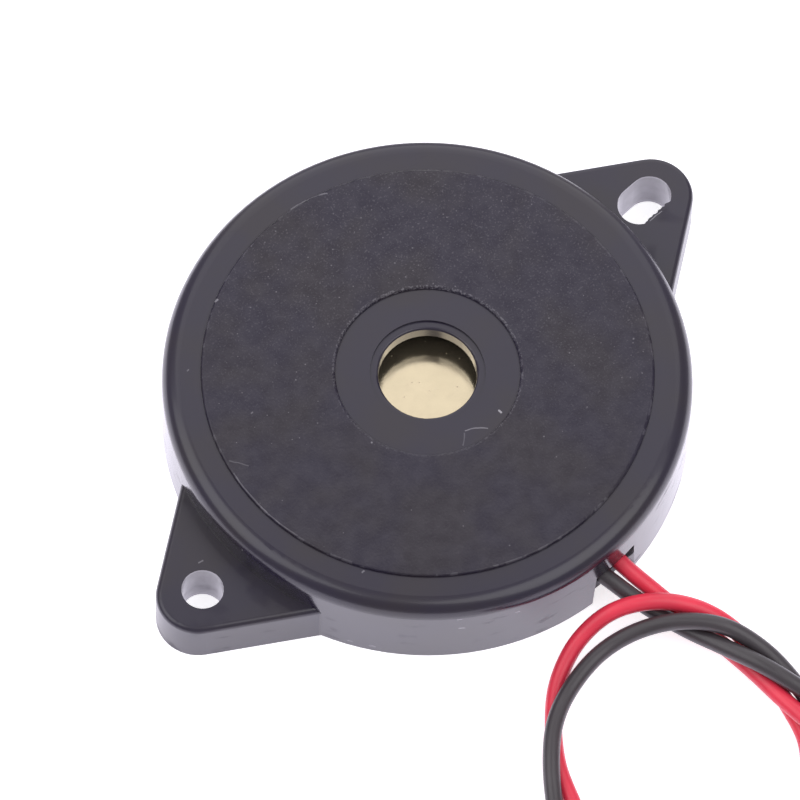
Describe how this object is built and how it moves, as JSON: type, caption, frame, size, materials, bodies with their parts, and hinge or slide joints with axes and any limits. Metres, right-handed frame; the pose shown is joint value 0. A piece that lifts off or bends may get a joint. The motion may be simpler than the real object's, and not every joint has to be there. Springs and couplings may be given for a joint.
{
  "type": "piezo buzzer",
  "caption": "Round black piezo buzzer with a central sound port, two screw ears, one slotted, and red and black flying leads.",
  "frame": {"origin": "centre of the round case on its back face, which rests on z = 0", "axes": "+X along the ears towards the slotted one, -Y towards the wire notch and leads, +Z out of the sound port"},
  "size_m": [0.06, 0.0882, 0.0086],
  "materials": {
    "case_black": "satin moulded, fine spark texture on the front",
    "cover_black": "matte",
    "brass": "rolled satin",
    "ceramic": "unglazed ceramic",
    "silver": "fired silver, matt",
    "adhesive": "cured adhesive, satin",
    "bead_black": "cured, satin",
    "solder": "bright",
    "insulation_red": "smooth PVC, satin",
    "insulation_black": "smooth PVC, satin",
    "tinned_copper": "bright"
  },
  "bodies": {
    "root": {"case": "case_black", "back_cover": "cover_black", "brass_plate": "brass", "ceramic_disc": "ceramic", "silver_electrode": "silver", "adhesive_ring": "adhesive", "glue_bead": "bead_black", "solder_brass": "solder", "solder_ceramic": "solder", "red_lead": "insulation_red", "black_lead": "insulation_black", "red_strand": "tinned_copper", "black_strand": "tinned_copper", "red_tip": "tinned_copper", "black_tip": "tinned_copper"}
  },
  "joints": []
}
